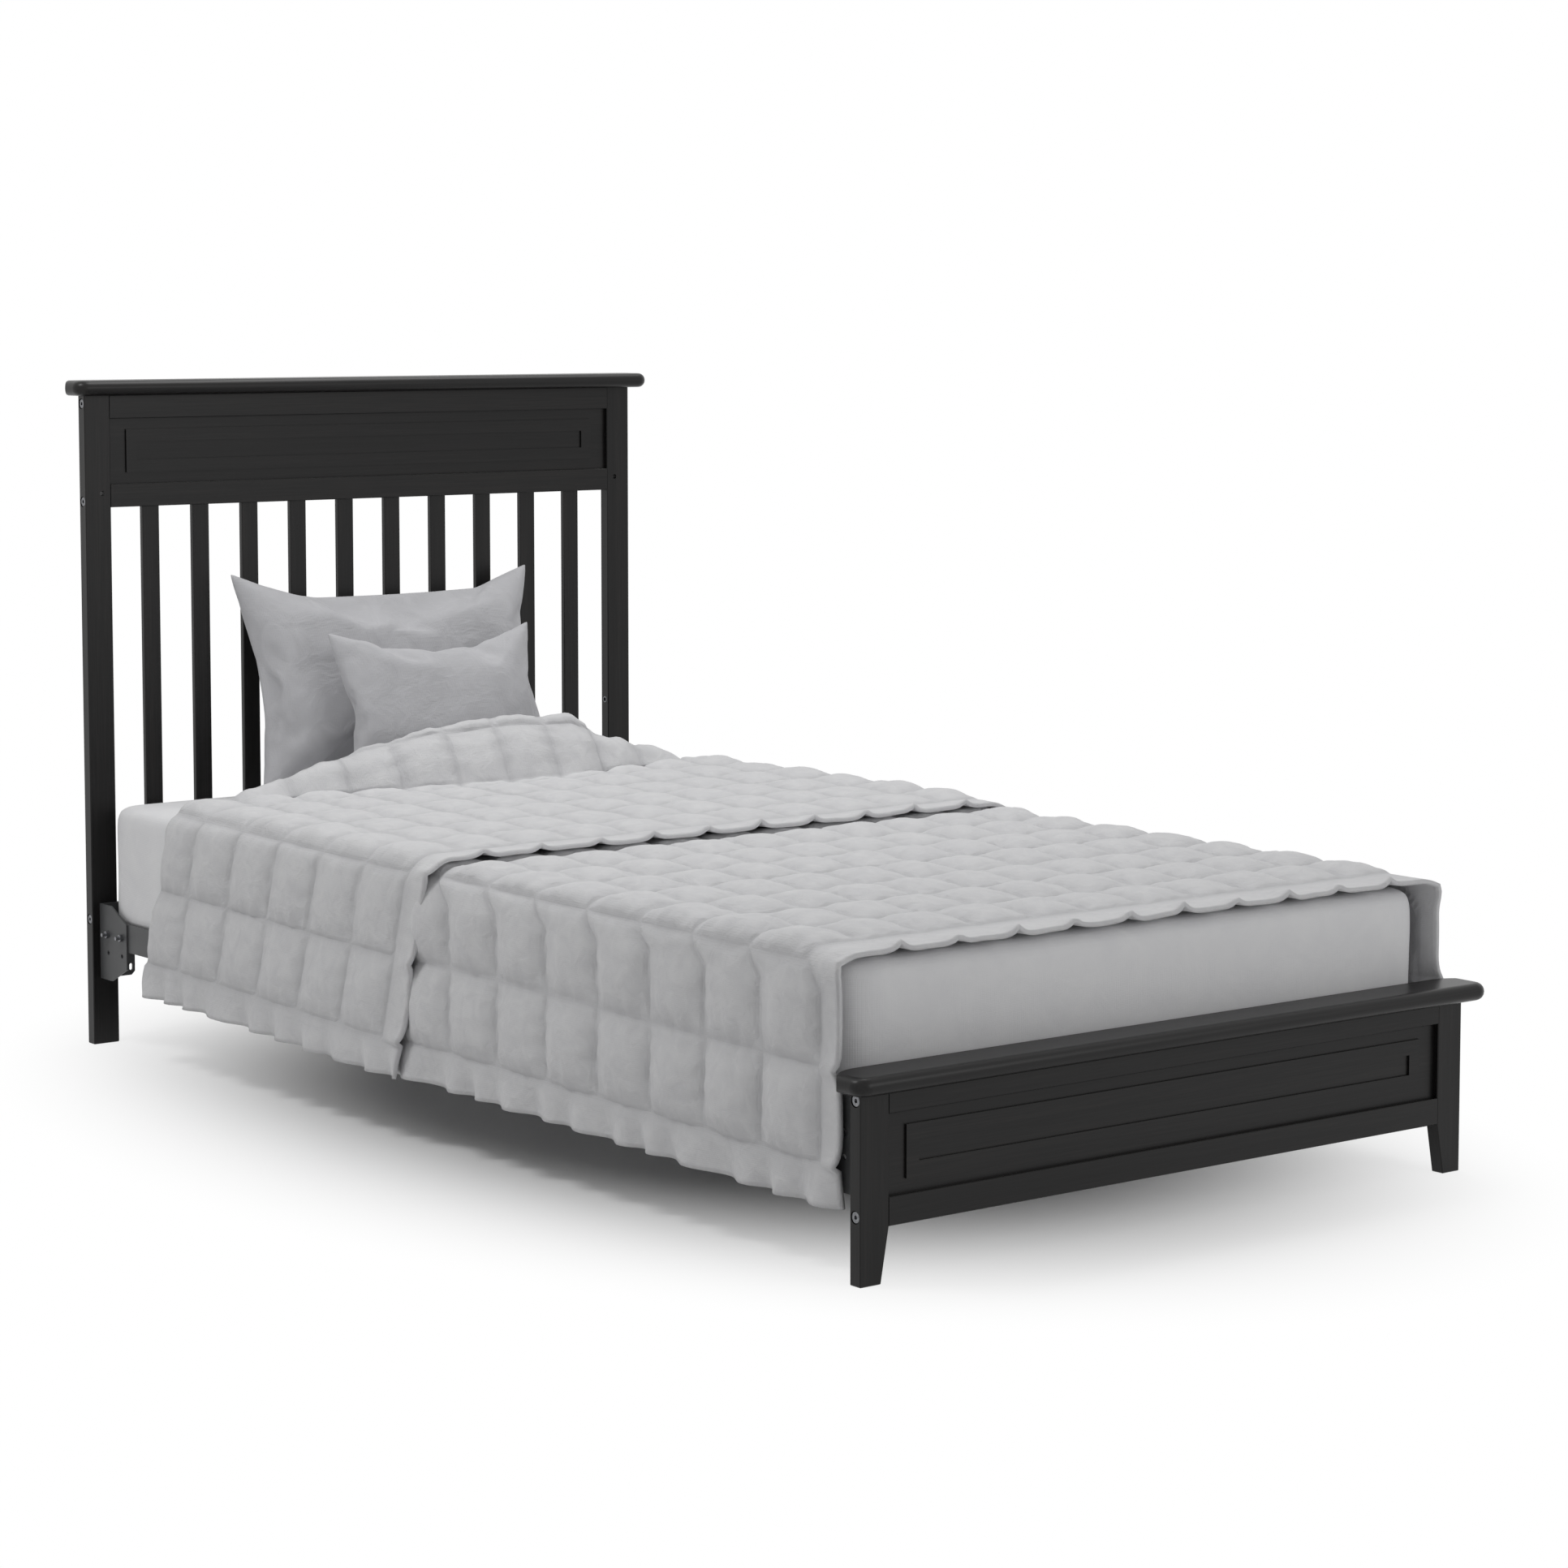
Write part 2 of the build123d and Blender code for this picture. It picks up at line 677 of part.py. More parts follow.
def quilt():
    """The quilt over the mattress, with its head end folded back as a second layer."""
    inner = plate_outer + quilt_side_gap
    low_half = inner + quilt_valley
    high_half = low_half + quilt_puff + quilt_valley
    hollow_top = mattress_top + soft_clearance
    low_top = hollow_top + quilt_valley
    high_top = low_top + quilt_puff + quilt_valley
    roof = high_top + 2 * hump_height
    foot = foot_back + cap_back_overhang + quilt_foot_margin
    fold = fold_line()
    start = head_front - quilt_side_start
    middle = quilt_drop_base + quilt_hem + quilt_side_square
    shoulder = hollow_top - 1
    fold_end = start - quilt_fold_squares * quilt_long_square - quilt_hem

    def head_edge(z):
        return start + (middle - z) * quilt_head_slant

    def fold_edge(z):
        return fold_end + (shoulder - z) * quilt_fold_slant

    base = quilt_drop_base - 2
    longest = head_edge(base)
    under = quilt_layer(seam_run(fold_edge(base) + 1, foot, quilt_long_square, quilt_hem), low_half, low_top)
    runs = [start - n * quilt_long_square for n in range(quilt_fold_squares + 1)]
    over = quilt_layer([fold_end] + runs[::-1] + [longest], high_half, high_top)
    over &= side_trim([(fold_edge(base), base), (longest, base), (head_edge(shoulder), shoulder),
                       (fold, shoulder), (fold, roof), (fold_end, roof), (fold_end, shoulder)])
    shape = under + over + hump(high_top - quilt_valley)
    return shape - block(-inner, inner, foot - 1, longest + 1, 0, hollow_top)


def pillow_section(place, width, half, thickness):
    """The pillow cut straight across: two arcs that meet at a thin seam on each side."""
    reach = 1 - abs(place) / half
    edge = pillow_seam / 2
    w = width / 2 - pillow_side_sweep * (1 - (place / half) ** 2)
    swell = max(0, 1 - (1 - reach) ** pillow_fullness) ** 0.6
    high = edge + 1 + (thickness / 2 - edge - 1) * swell
    top = ThreePointArc((-w, edge, place), (0, high, place), (w, edge, place))
    low = ThreePointArc((w, -edge, place), (0, -high, place), (-w, -edge, place))
    return make_face([top, Line(top @ 1, low @ 0), low, Line(low @ 1, top @ 0)])


def pillow(width, length, thickness):
    """A knife-edge pillow standing in the XZ plane: it swells from thin seams, with drawn-in sides."""
    h = length / 2
    turns = [math.pi * n / pillow_sections for n in range(pillow_sections + 1)]
    body = loft([pillow_section(-h * math.cos(t), width, h, thickness) for t in turns], ruled=True)
    w = width / 2 + pillow_side_sweep
    low = ThreePointArc((-w, -h), (0, -h + pillow_side_sweep), (w, -h))
    top = ThreePointArc((w, h), (0, h - pillow_side_sweep), (-w, h))
    outline = make_face([low, Line(low @ 1, top @ 0), top, Line(top @ 1, low @ 0)])
    facing = Plane(origin=(0, thickness, 0), x_dir=(1, 0, 0), z_dir=(0, -1, 0))
    return Pos(0, 0, h) * (body & extrude(facing * outline, amount=2 * thickness))


def mattress_height(point):
    """How high the crowned top of the mattress is under a point."""
    middle = (mattress_foot + mattress_head) / 2
    across = point.X / (mattress_width / 2)
    along = (point.Y - middle) / (mattress_head - middle)
    return mattress_top - mattress_crown * max(across ** 2, along ** 2)


def seated(shape):
    """A pillow let down until its lowest corner is just above the mattress."""
    corner = shape.vertices().sort_by(Axis.Z)[0].center()
    return Pos(0, 0, mattress_height(corner) + soft_clearance - corner.Z) * shape


def large_pillow():
    """The large pillow, leaning back on the headboard."""
    shape = Rot(-large_pillow_lean, 0, 0) * pillow(large_pillow_width, large_pillow_length, large_pillow_thickness)
    return seated(Pos(0, head_front - soft_clearance - shape.bounding_box().max.Y, 0) * shape)


def small_pillow():
    """The small pillow, between the quilt and the large pillow."""
    shape = Rot(-small_pillow_lean, 0, 0) * pillow(small_pillow_width, small_pillow_length, small_pillow_thickness)
    return seated(Pos(0, fold_line() + soft_clearance - shape.bounding_box().min.Y, 0) * shape)


def build():
    os.makedirs("parts", exist_ok=True)

    post = headboard_post()
    save("headboard_post_left", post)
    save("headboard_post_right", mirrored(post))
    post = footboard_post()
    save("footboard_post_left", post)
    save("footboard_post_right", mirrored(post))

    low, middle, high = headboard_screw_heights
    slot = panel_slot(head_front, head_panel_base, head_rail_top)
    save("headboard_top_rail", bored_rail(head_front, head_rail_top, headboard_top_rail_height, high) - slot)
    bar = bored_rail(head_front, slat_top, panel_rail_height, middle) - slot
    save("headboard_panel_rail", cut_mortises(bar))
    bar = bored_rail(head_front, headboard_bottom_rail_base, headboard_bottom_rail_height, low)
    save("headboard_bottom_rail", cut_mortises(bar))
    save("headboard_panel", panel(head_front, head_panel_base, head_rail_top))
    for n, x in enumerate(slat_places(), 1):
        save(f"headboard_slat_{n:02d}", slat(x))
    save("headboard_cap", cap(head_front, headboard_height))

    low, high = footboard_screw_heights
    slot = panel_slot(foot_front, foot_panel_base, foot_rail_base)
    bar = bored_rail(foot_front, foot_rail_base, footboard_top_rail_height, high)
    save("footboard_top_rail", bar - slot)
    bar = bored_rail(foot_front, foot_bottom_rail_base, footboard_bottom_rail_height, low)
    save("footboard_bottom_rail", bar - slot)
    save("footboard_panel", panel(foot_front, foot_panel_base, foot_rail_base))
    save("footboard_cap", cap(foot_front, footboard_height))

    save("headboard_screws", *both_sides([connector_screw(head_front, z) for z in headboard_screw_heights]))
    save("footboard_screws", *both_sides([connector_screw(foot_front, z) for z in footboard_screw_heights]))
    save("headboard_inserts", *both_sides([threaded_insert(insert_height)]))

    bracket = left_bracket()
    save("head_bracket_left", at_head(bracket))
    save("head_bracket_right", mirrored(at_head(bracket)))
    save("foot_bracket_left", at_foot(bracket))
    save("foot_bracket_right", mirrored(at_foot(bracket)))
    save("bracket_bolts", *both_sides([at_head(flange_bolt()), at_foot(flange_bolt())]))
    angle = side_rail()
    save("side_rail_left", angle)
    save("side_rail_right", mirrored(angle))
    save("rail_bolts", *both_sides(rail_bolts_head() + rail_bolts_foot()))
    save("rail_nuts", *both_sides(rail_nuts_head() + rail_nuts_foot()))
    for n, y in enumerate(bar_places(), 1):
        save(f"cross_bar_{n}", cross_bar(y))

    save("mattress", mattress())
    save("quilt", quilt())
    save("pillow_large", large_pillow())
    save("pillow_small", small_pillow())


build()
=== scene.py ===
import bpy, math
from mathutils import Vector, Matrix, noise


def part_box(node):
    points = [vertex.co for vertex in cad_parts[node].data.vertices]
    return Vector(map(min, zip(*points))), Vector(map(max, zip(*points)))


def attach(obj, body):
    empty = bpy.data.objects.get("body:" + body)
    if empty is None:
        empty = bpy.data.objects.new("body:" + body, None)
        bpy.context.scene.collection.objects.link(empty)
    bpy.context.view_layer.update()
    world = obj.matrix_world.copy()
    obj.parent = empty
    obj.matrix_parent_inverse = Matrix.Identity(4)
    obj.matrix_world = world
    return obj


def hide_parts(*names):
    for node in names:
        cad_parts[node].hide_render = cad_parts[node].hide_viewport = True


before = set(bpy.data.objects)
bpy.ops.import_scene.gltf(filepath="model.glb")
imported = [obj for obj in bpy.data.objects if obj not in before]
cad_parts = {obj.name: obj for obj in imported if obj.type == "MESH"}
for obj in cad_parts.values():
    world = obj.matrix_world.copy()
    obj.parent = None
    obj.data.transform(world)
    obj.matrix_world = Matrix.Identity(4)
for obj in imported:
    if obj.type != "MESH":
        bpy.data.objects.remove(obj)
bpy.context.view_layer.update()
print("frame loaded:", len(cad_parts), "nodes")


# small helpers, used by every piece

def toLinear(hexColour):
    parts = [int(hexColour[i:i + 2], 16) / 255 for i in (1, 3, 5)]
    return tuple(c / 12.92 if c <= 0.04045 else ((c + 0.055) / 1.055) ** 2.4 for c in parts) + (1.0,)


def addNode(tree, kind, values=None, links=None, stops=None, **settings):
    node = tree.nodes.new(kind)
    for name, value in settings.items():
        setattr(node, name, value)
    for name, value in (values or {}).items():
        node.inputs[name].default_value = value
    for name, source in (links or {}).items():
        tree.links.new(source, node.inputs[name])
    if stops:  # a new colour ramp has two marks, for the first and the last stop
        marks = node.color_ramp.elements
        marks[0].position, marks[1].position = stops[0][0], stops[-1][0]
        marks[0].color, marks[1].color = stops[0][1], stops[-1][1]
        for position, colour in stops[1:-1]:
            marks.new(position).color = colour
    return node


def newMaterial(name, values):
    material = bpy.data.materials.new(name)
    material.use_nodes = True
    tree = material.node_tree
    tree.nodes.clear()
    shader = addNode(tree, "ShaderNodeBsdfPrincipled", values)
    addNode(tree, "ShaderNodeOutputMaterial", links={"Surface": shader.outputs[0]})
    place = addNode(tree, "ShaderNodeTexCoord").outputs["Object"]
    return material, tree, shader, place


def ease(t):
    t = max(0.0, min(1.0, t))
    return t * t * (3 - 2 * t)


def between(x, points):  # eased from each point to the next, flat outside them
    if x <= points[0][0]:
        return points[0][1]
    for (x0, y0), (x1, y1) in zip(points, points[1:]):
        if x <= x1:
            return y0 + (y1 - y0) * ease((x - x0) / (x1 - x0))
    return points[-1][1]


def wobble(x, y, z=0.0):  # smooth and always the same, from -1 to 1
    return noise.noise(Vector((x, y, z)))


def meshPiece(name, points, faces, material):
    mesh = bpy.data.meshes.new(name)
    mesh.from_pydata(points, [], faces)
    mesh.validate()
    mesh.update()
    mesh.shade_smooth()
    piece = bpy.data.objects.new(name, mesh)
    bpy.context.scene.collection.objects.link(piece)
    mesh.materials.append(material)
    return piece


def applyModifiers(piece):
    bpy.context.view_layer.update()
    seen = piece.evaluated_get(bpy.context.evaluated_depsgraph_get())
    made = bpy.data.meshes.new_from_object(seen)
    piece.modifiers.clear()
    piece.data = made
    made.shade_smooth()


# camera: at the level of the headboard cap, off the left corner of the foot end

camera = {"place": (-3.3427, -4.4818, 1.1601), "turn": 37.648, "down": 5.228, "lens": 89.45, "shiftY": -0.08,
          "sensor": 36, "farthest": 60}

cameraData = bpy.data.cameras.new("photoCamera")
cameraData.lens, cameraData.sensor_width = camera["lens"], camera["sensor"]
cameraData.shift_y, cameraData.clip_end = camera["shiftY"], camera["farthest"]
cameraObject = bpy.data.objects.new("photoCamera", cameraData)
cameraObject.location = camera["place"]
cameraObject.rotation_euler = (math.radians(90 - camera["down"]), 0, -math.radians(camera["turn"]))
bpy.context.scene.collection.objects.link(cameraObject)
bpy.context.scene.camera = cameraObject
bpy.context.scene.view_settings.view_transform = "Standard"
print("camera set")

# studio: soft light from above, pale floor that runs out to white

studio = {"sky": 0.26, "backdrop": 1.0, "floor": "#EAEAEA", "floorHalf": 14,
          "oval": (0.95, 0.62, 1), "shadowEnds": 0.36, "whiteFrom": 0.90}  # the floor is white outside this oval

lamps = {
    "overheadBank": {"place": (0.7, 0.6, 3.0), "target": (0, 0, 0.3), "size": (1.4, 2.0), "power": 32},
    "leftBank": {"place": (-2.1, 0.5, 3.2), "target": (-0.45, -0.1, 0.25), "size": (0.9, 0.9), "power": 34},
    "footBank": {"place": (1.2, -4.2, 1.6), "target": (0, -0.6, 0.35), "size": (2.5, 1.6), "power": 26}}


def seenRays(tree):  # camera, mirror and glass rays find the white studio
    path = addNode(tree, "ShaderNodeLightPath")
    first = addNode(tree, "ShaderNodeMath", operation="MAXIMUM",
                    links={0: path.outputs["Is Camera Ray"], 1: path.outputs["Is Glossy Ray"]})
    return addNode(tree, "ShaderNodeMath", operation="MAXIMUM",
                   links={0: first.outputs[0], 1: path.outputs["Is Transmission Ray"]}).outputs[0]


def makeWorld():
    world = bpy.data.worlds.new("studioWorld")
    bpy.context.scene.world = world
    world.use_nodes = True
    tree = world.node_tree
    tree.nodes.clear()
    lighting = addNode(tree, "ShaderNodeBackground", {"Color": (1, 1, 1, 1), "Strength": studio["sky"]})
    backdrop = addNode(tree, "ShaderNodeBackground", {"Color": (1, 1, 1, 1), "Strength": studio["backdrop"]})
    mix = addNode(tree, "ShaderNodeMixShader",
                  links={0: seenRays(tree), 1: lighting.outputs[0], 2: backdrop.outputs[0]})
    addNode(tree, "ShaderNodeOutputWorld", links={"Surface": mix.outputs[0]})


def makeFloor():
    # matt painted floor: it takes the bed's soft shadow and shows no gloss
    material, tree, shader, place = newMaterial("paleStudioFloor", {"Base Color": toLinear(studio["floor"]),
                                                                    "Roughness": 0.9})
    shape = addNode(tree, "ShaderNodeMapping", {"Scale": studio["oval"]}, {"Vector": place})
    far = addNode(tree, "ShaderNodeVectorMath", links={0: shape.outputs[0]}, operation="LENGTH")
    reach = addNode(tree, "ShaderNodeMapRange",
                    {"From Min": studio["shadowEnds"], "From Max": studio["whiteFrom"]},
                    {"Value": far.outputs["Value"]}, interpolation_type="SMOOTHSTEP")
    share = addNode(tree, "ShaderNodeMath", operation="MULTIPLY",
                    links={0: reach.outputs[0], 1: seenRays(tree)})
    white = addNode(tree, "ShaderNodeEmission", {"Color": (1, 1, 1, 1), "Strength": studio["backdrop"]})
    mix = addNode(tree, "ShaderNodeMixShader",
                  links={0: share.outputs[0], 1: shader.outputs[0], 2: white.outputs[0]})
    output = next(n for n in tree.nodes if n.type == "OUTPUT_MATERIAL")
    tree.links.new(mix.outputs[0], output.inputs["Surface"])
    half = studio["floorHalf"]
    floor = meshPiece("studioFloor", [(-half, -half, 0), (half, -half, 0), (half, half, 0), (-half, half, 0)],
                      [(0, 1, 2, 3)], material)


def softLamp(name, place, target, size, power):
    data = bpy.data.lights.new(name, "AREA")
    data.shape, data.size, data.size_y, data.energy = "RECTANGLE", size[0], size[1], power
    lamp = bpy.data.objects.new(name, data)
    lamp.location = place
    lamp.rotation_euler = (Vector(target) - Vector(place)).to_track_quat("-Z", "Y").to_euler()
    bpy.context.scene.collection.objects.link(lamp)


makeWorld()
makeFloor()
for name, lamp in lamps.items():
    softLamp(name, **lamp)
print("studio set")

# timber: beech or poplar boards, stained espresso and sprayed with satin lacquer

timber = {"dark": "#0E0D0D", "mid": "#161515", "pale": "#201E1D", "grainMm": 2.2, "grainLength": 45,
          "figureMm": 26, "roughness": 0.34, "gloss": 0.24, "poreStrength": 0.12, "poreDepth": 0.0004}


def stainedTimber(name, along):
    # dark stain hides most of the figure: faint streaks along the board, under a satin film that picks up light
    # pores are 0.3 mm wide in life, drawn at 2.2 mm so that they show
    material, tree, shader, place = newMaterial(name, {"Roughness": timber["roughness"], "IOR": 1.5,
                                                       "Specular IOR Level": timber["gloss"]})
    across, run = 1000 / timber["grainMm"], 1000 / (timber["grainMm"] * timber["grainLength"])
    scale = [run if axis == along else across for axis in "xyz"]
    grainPlace = addNode(tree, "ShaderNodeMapping", {"Scale": scale}, {"Vector": place})
    grain = addNode(tree, "ShaderNodeTexNoise", {"Scale": 1, "Detail": 5, "Roughness": 0.6},
                    {"Vector": grainPlace.outputs[0]})
    wide = [c * timber["grainMm"] / timber["figureMm"] for c in scale]
    figurePlace = addNode(tree, "ShaderNodeMapping", {"Scale": wide}, {"Vector": place})
    figure = addNode(tree, "ShaderNodeTexNoise", {"Scale": 1, "Detail": 3, "Distortion": 0.8},
                     {"Vector": figurePlace.outputs[0]})
    blend = addNode(tree, "ShaderNodeMath", links={0: grain.outputs["Fac"], 1: figure.outputs["Fac"]},
                    operation="MULTIPLY")
    ramp = addNode(tree, "ShaderNodeValToRGB", links={"Fac": blend.outputs[0]},
                   stops=[(0.12, toLinear(timber["dark"])), (0.25, toLinear(timber["mid"])),
                          (0.42, toLinear(timber["pale"]))])
    tree.links.new(ramp.outputs["Color"], shader.inputs["Base Color"])
    bump = addNode(tree, "ShaderNodeBump",
                   {"Strength": timber["poreStrength"], "Distance": timber["poreDepth"]},
                   {"Height": grain.outputs["Fac"]})
    tree.links.new(bump.outputs[0], shader.inputs["Normal"])
    return material


# bed frame steel: rolled mild steel, powder coated dark grey; zinc fasteners

steel = {"coat": "#4E4F50", "coatShade": "#444546", "peelMm": 2.5, "peelDepth": 0.0003,
         "cloudScale": 12, "patchScale": 350,  # clouds 83 mm across in the coat, patches 2.9 mm in the zinc
         "zinc": "#8A8B8E", "zincShade": "#6F7073", "brightest": 0.28, "dullest": 0.48}


def powderCoat():
    # baked powder leaves a fine orange peel that breaks the highlight: 0.4 mm in life, drawn at 2.5 mm
    material, tree, shader, place = newMaterial("powderCoatedSteel", {"Roughness": 0.5, "IOR": 1.5})
    peel = addNode(tree, "ShaderNodeTexNoise", {"Scale": 1000 / steel["peelMm"], "Detail": 2},
                   {"Vector": place})
    cloud = addNode(tree, "ShaderNodeTexNoise", {"Scale": steel["cloudScale"], "Detail": 3}, {"Vector": place})
    ramp = addNode(tree, "ShaderNodeValToRGB", links={"Fac": cloud.outputs["Fac"]},
                   stops=[(0.35, toLinear(steel["coatShade"])), (0.65, toLinear(steel["coat"]))])
    tree.links.new(ramp.outputs["Color"], shader.inputs["Base Color"])
    bump = addNode(tree, "ShaderNodeBump", {"Strength": 0.25, "Distance": steel["peelDepth"]},
                   {"Height": peel.outputs["Fac"]})
    tree.links.new(bump.outputs[0], shader.inputs["Normal"])
    return material


def zincPlate():
    # plated steel fasteners: soft metal glints, a little duller in patches
    material, tree, shader, place = newMaterial("zincPlatedSteel", {"Metallic": 1.0})
    patches = addNode(tree, "ShaderNodeTexNoise", {"Scale": steel["patchScale"], "Detail": 3},
                      {"Vector": place})
    ramp = addNode(tree, "ShaderNodeValToRGB", links={"Fac": patches.outputs["Fac"]},
                   stops=[(0.35, toLinear(steel["zincShade"])), (0.65, toLinear(steel["zinc"]))])
    tree.links.new(ramp.outputs["Color"], shader.inputs["Base Color"])
    dull = addNode(tree, "ShaderNodeMapRange", {"To Min": steel["brightest"], "To Max": steel["dullest"]},
                   {"Value": patches.outputs["Fac"]})
    tree.links.new(dull.outputs[0], shader.inputs["Roughness"])
    return material


# woven cotton, for the fitted sheet, the quilt and the pillow cases

cotton = {
    "sheet": {"name": "fittedPercaleSheet", "colour": "#F0F0F1", "shade": "#EAEAEC", "threadMm": 2.2,
              "creaseMm": 70, "creaseDepth": 0.002, "sheen": 0.1},
    "quilt": {"name": "washedQuiltCotton", "colour": "#DEDEDF", "shade": "#D5D5D7", "threadMm": 2.6,
              "creaseMm": 24, "creaseDepth": 0.0022, "sheen": 0.15},
    "pillow": {"name": "washedPillowCotton", "colour": "#C6C6C9", "shade": "#BDBDC0", "threadMm": 2.4,
               "creaseMm": 45, "creaseDepth": 0.003, "sheen": 0.15}}
# painted shade: the valley colour darkens the quilt along its stitching; depth is the stitching groove's bump
stitching = {"paintedValleyShade": "#C9C9CB", "depth": 0.0028}


def wovenCotton(name, colour, shade, threadMm, creaseMm, creaseDepth, sheen):
    # threads 0.3 mm apart in life, drawn coarser so that the weave shows; washing leaves soft creases
    material, tree, shader, place = newMaterial(name, {"Roughness": 0.88, "Specular IOR Level": 0.25,
                                                       "Sheen Weight": sheen, "Sheen Roughness": 0.5})
    waves = [addNode(tree, "ShaderNodeTexWave", {"Scale": 314 / threadMm, "Distortion": 0.6, "Detail": 1},
                     {"Vector": place}, bands_direction=direction).outputs["Fac"] for direction in "XYZ"]
    pair = addNode(tree, "ShaderNodeMath", links={0: waves[0], 1: waves[1]}, operation="ADD")
    weave = addNode(tree, "ShaderNodeMath", links={0: pair.outputs[0], 1: waves[2]}, operation="ADD")
    crease = addNode(tree, "ShaderNodeTexNoise", {"Scale": 1000 / creaseMm, "Detail": 4, "Roughness": 0.55,
                                                  "Distortion": 0.7}, {"Vector": place})
    # painted shade: the crease noise that bumps the cloth also darkens its colour to the shade colour in the
    # crease hollows
    creaseShade = addNode(tree, "ShaderNodeValToRGB", links={"Fac": crease.outputs["Fac"]},
                   stops=[(0.3, toLinear(shade)), (0.7, toLinear(colour))])
    tree.links.new(creaseShade.outputs["Color"], shader.inputs["Base Color"])
    soft = addNode(tree, "ShaderNodeBump", {"Strength": 1.0, "Distance": creaseDepth},
                   {"Height": crease.outputs["Fac"]})
    fine = addNode(tree, "ShaderNodeBump", {"Strength": 0.18, "Distance": 0.0004},
                   {"Height": weave.outputs[0], "Normal": soft.outputs[0]})
    tree.links.new(fine.outputs[0], shader.inputs["Normal"])
    return material


uprightTimber = stainedTimber("espressoTimberUpright", "z")
crosswiseTimber = stainedTimber("espressoTimberCrosswise", "x")
coatedSteel = powderCoat()
platedSteel = zincPlate()
percaleSheet = wovenCotton(**cotton["sheet"])
washedQuilt = wovenCotton(**cotton["quilt"])
pillowCase = wovenCotton(**cotton["pillow"])
print("materials made")


def markStitching(material, paintedValleyShade, depth):
    # painted shade along the stitching: the cloth's colour is made a little greyer in each valley
    tree = material.node_tree
    shader = next(n for n in tree.nodes if n.type == "BSDF_PRINCIPLED")
    cloth = shader.inputs["Base Color"].links[0].from_socket
    stitch = addNode(tree, "ShaderNodeAttribute", attribute_name="stitch").outputs["Fac"]
    mix = addNode(tree, "ShaderNodeMixRGB", {"Color1": toLinear(paintedValleyShade)}, {"Fac": stitch, "Color2": cloth})
    tree.links.new(mix.outputs[0], shader.inputs["Base Color"])
    soft = shader.inputs["Normal"].links[0].from_socket
    groove = addNode(tree, "ShaderNodeBump", {"Strength": 1.0, "Distance": depth},
                     {"Height": stitch, "Normal": soft})
    tree.links.new(groove.outputs[0], shader.inputs["Normal"])


markStitching(washedQuilt, **stitching)


def dressFrame():
    for name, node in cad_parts.items():
        if "bolts" in name or "screws" in name or "nuts" in name or "inserts" in name:
            material = platedSteel
        elif "bracket" in name or "side_rail" in name or "cross_bar" in name:
            material = coatedSteel
        elif "post" in name or "slat" in name:
            material = uprightTimber
        else:
            material = crosswiseTimber
        if not node.material_slots:
            node.data.materials.append(material)
        for place in node.material_slots:
            place.material = material


dressFrame()
print("frame dressed")

# mattress: foam block in a white fitted sheet, pulled to creases at the corners

mattress = {"corner": 0.05, "edge": 0.022, "crown": 0.006, "step": 0.02, "fill": 0.95,
            "creaseDepth": 0.0022, "creaseReach": 0.16, "creaseFade": 0.13, "creaseCentre": 0.1, "creases": 9,
            "slack": 0.0012, "slackBelowTop": 0.01}


def roundedBlock(low, high, plan, edge, step):
    # points over a block with round upright corners and rolled edges, joined in one closed skin
    size = [high[i] - low[i] for i in range(3)]
    counts = [max(2, round(s / step)) for s in size]
    index, points, faces = {}, [], []

    def point(i, j, k):
        if (i, j, k) not in index:
            raw = Vector((low[n] + size[n] * c / counts[n] for n, c in enumerate((i, j, k))))
            index[(i, j, k)] = len(points)
            points.append(raw)
        return index[(i, j, k)]

    for axis in range(3):
        b, c = [n for n in range(3) if n != axis]
        for side in (0, counts[axis]):
            for p in range(counts[b]):
                for q in range(counts[c]):
                    corners = []
                    for dp, dq in ((0, 0), (1, 0), (1, 1), (0, 1)):
                        cell = [0, 0, 0]
                        cell[axis], cell[b], cell[c] = side, p + dp, q + dq
                        corners.append(point(*cell))
                    if (side == 0) != (axis == 1):
                        corners.reverse()
                    faces.append(corners)
    middle = [(low[i] + high[i]) / 2 for i in range(3)]
    for n, raw in enumerate(points):
        flat = Vector((max(low[0] + plan, min(high[0] - plan, raw.x)),
                       max(low[1] + plan, min(high[1] - plan, raw.y))))
        away = Vector((raw.x, raw.y)) - flat
        depth = max(abs(away.x), abs(away.y))
        away = away.normalized() * depth if away.length > 1e-9 else away
        rise = min(edge, min(raw.z - low[2], high[2] - raw.z))
        rise = edge - rise  # 0 on the side walls, edge at the top and bottom faces
        if depth > plan - edge:
            inward = plan - edge
            swing = (depth - inward) / edge
            if rise > 0:
                u, w = swing, rise / edge
                reach = max(u, w) / max(1e-9, math.hypot(u, w))
                swing, w = u * reach, w * reach
                rise = w * edge
            depth = inward + swing * edge
            away = away.normalized() * depth
        z = raw.z
        if rise > 0:
            z = (low[2] + edge - rise) if raw.z < middle[2] else (high[2] - edge + rise)
        points[n] = Vector((flat.x + away.x, flat.y + away.y, z))
    return points, faces


